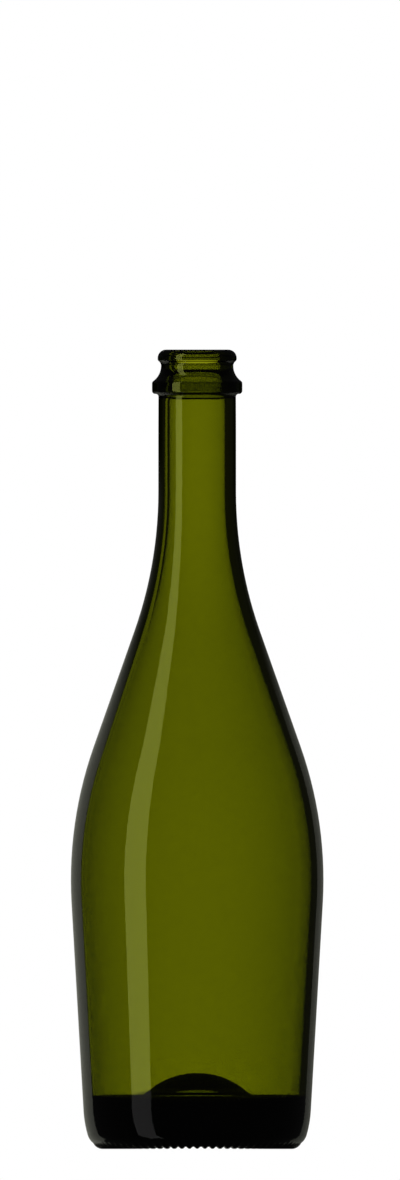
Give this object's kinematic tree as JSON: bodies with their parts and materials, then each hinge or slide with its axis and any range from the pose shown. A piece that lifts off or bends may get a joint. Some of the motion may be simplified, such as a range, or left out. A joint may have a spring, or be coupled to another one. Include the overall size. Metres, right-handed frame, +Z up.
{
  "type": "sparkling wine bottle",
  "caption": "Empty olive-green glass bottle for sparkling wine: slim neck, sloping shoulders, full belly, collared lip, deep punt and a knurled bearing ring.",
  "frame": {"origin": "on the bottle's axis in the plane of the bearing ring that it stands on", "axes": "+Z up along the bottle's axis, out of the mouth; the bottle is round, so X and Y are equal, and a knurl tooth lies on each of them"},
  "size_m": [0.0922, 0.0922, 0.292],
  "materials": {
    "olive_glass": "clear olive-green container glass, fire-polished smooth outside, faint mould seams"
  },
  "bodies": {
    "root": {"glass_bottle": "olive_glass"}
  },
  "joints": []
}
